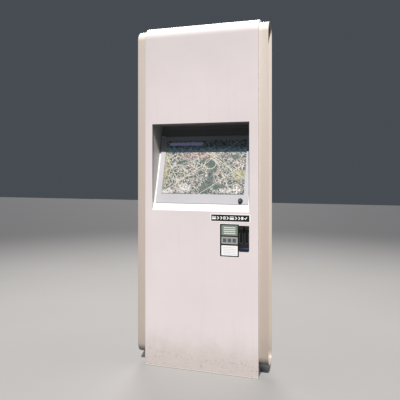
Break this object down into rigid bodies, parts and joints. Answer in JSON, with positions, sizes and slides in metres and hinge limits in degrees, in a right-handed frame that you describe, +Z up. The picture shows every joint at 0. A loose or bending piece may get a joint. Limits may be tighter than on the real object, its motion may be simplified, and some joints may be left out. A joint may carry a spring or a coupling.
{
  "type": "outdoor card terminal",
  "caption": "Tall slim outdoor card terminal: enamelled cover rolled over the top, trim bands, sloped touch screen in a hooded recess, card reader, rear service door.",
  "frame": {"origin": "centre of the object's bounding box in X and Y, on the ground under the base plate", "axes": "+Z up, the front cover and screen face -Y, +X to the right of someone facing the screen"},
  "size_m": [0.822, 0.324, 2.1],
  "materials": {
    "cover_enamel": "satin enamel, pinkish white, slightly stained",
    "band_enamel": "satin enamel, warm beige",
    "recess_enamel": "satin white enamel",
    "bezel_enamel": "fine satin grey enamel",
    "core_paint": "textured grey-beige powder coat",
    "frame_paint": "dark grey powder coat",
    "galvanised": "galvanised sheet with a faint spangle",
    "stainless": "brushed stainless steel",
    "lock_black": "black plated, worn at the edge",
    "screen_glass": "clear touch glass",
    "display_panel": "lit map display",
    "display_back": "grey ribbed back box",
    "circuit_board": "green solder mask with dark parts",
    "black_plastic": "moulded black plastic with a fine grain",
    "grey_plastic": "light grey moulded plastic",
    "label_print": "printed plate with a clear coat",
    "seal_rubber": "black foam rubber",
    "fan_plastic": "black fan plastic",
    "computer_finish": "black anodised finned case"
  },
  "bodies": {
    "cabinet": {"base_plate": "frame_paint", "plinth_skirt": "frame_paint", "foot_gussets": "frame_paint", "floor_plate": "galvanised", "cable_gland": "black_plastic", "trim_band_left": "band_enamel", "trim_band_right": "band_enamel", "side_panel_left": "core_paint", "side_panel_right": "core_paint", "frame_posts": "galvanised", "cross_rails": "galvanised", "cover_standoffs": "galvanised", "front_cover": "cover_enamel", "roof_plate": "core_paint", "antenna_puck": "black_plastic", "panel_screws": "stainless", "recess_walls": "recess_enamel", "recess_sill": "recess_enamel", "recess_ring": "recess_enamel", "bezel_gasket": "seal_rubber", "screen_hinge_fixed": "lock_black", "screen_hinge_pin": "stainless", "label_plate": "label_print", "mark_plate": "label_print", "reader_bezel": "black_plastic", "reader_body": "black_plastic", "reader_bracket": "galvanised", "rear_frame": "core_paint", "door_hinges_fixed": "stainless", "door_hinge_pins": "stainless", "equipment_plate": "galvanised", "din_rail": "galvanised", "breaker_body": "grey_plastic", "terminal_block": "grey_plastic", "power_supply": "stainless", "network_module": "grey_plastic", "computer_shelf": "galvanised", "computer": "computer_finish", "cable_trunking": "grey_plastic"},
    "door": {"rear_door": "core_paint", "louvres": "stainless", "door_gasket": "seal_rubber", "door_stiffeners": "galvanised", "door_hinges_moving": "stainless", "latch_plate": "stainless", "fan_housing": "fan_plastic", "fan_guard": "stainless"},
    "latch": {"latch_lever": "stainless", "latch_cam": "galvanised"},
    "fan": {"fan_rotor": "fan_plastic"},
    "screen": {"screen_bezel": "bezel_enamel", "touch_glass": "screen_glass", "lcd_panel": "display_panel", "lcd_back_box": "display_back", "controller_board": "circuit_board", "screen_hinge_moving": "lock_black"},
    "lock": {"lock_knob": "lock_black", "lock_cam": "stainless"},
    "shutter": {"reader_shutter": "black_plastic"},
    "toggle": {"breaker_toggle": "black_plastic"}
  },
  "joints": [
    {"name": "rear_door_hinge", "type": "hinge", "parent": "cabinet", "child": "door", "pos_m": [0.332, 0.139, 1.025], "axis": [0, 0, -1], "range_deg": [0, 110]},
    {"name": "latch_turn", "type": "hinge", "parent": "door", "child": "latch", "pos_m": [-0.27, 0.149, 1.05], "axis": [0, 1, 0], "range_deg": [0, 90]},
    {"name": "fan_spin", "type": "hinge", "parent": "door", "child": "fan", "pos_m": [0, 0.128, 1.755], "axis": [0, 1, 0], "continuous": true},
    {"name": "screen_lift", "type": "hinge", "parent": "cabinet", "child": "screen", "pos_m": [-0.009, 0.02417, 1.42605], "axis": [-1, 0, 0], "range_deg": [0, 60]},
    {"name": "lock_turn", "type": "hinge", "parent": "screen", "child": "lock", "pos_m": [0.2403, -0.10558, 1.02562], "axis": [0, -0.9548, 0.2974], "range_deg": [0, 90]},
    {"name": "reader_shutter_swing", "type": "hinge", "parent": "cabinet", "child": "shutter", "pos_m": [0.2689, -0.135, 0.822], "axis": [0, 0, 1], "range_deg": [0, 80], "stiffness_Nm_per_rad": 0.002},
    {"name": "breaker_switch", "type": "hinge", "parent": "cabinet", "child": "toggle", "pos_m": [-0.182, -0.025, 0.42], "axis": [-1, 0, 0], "range_deg": [0, 50]}
  ]
}
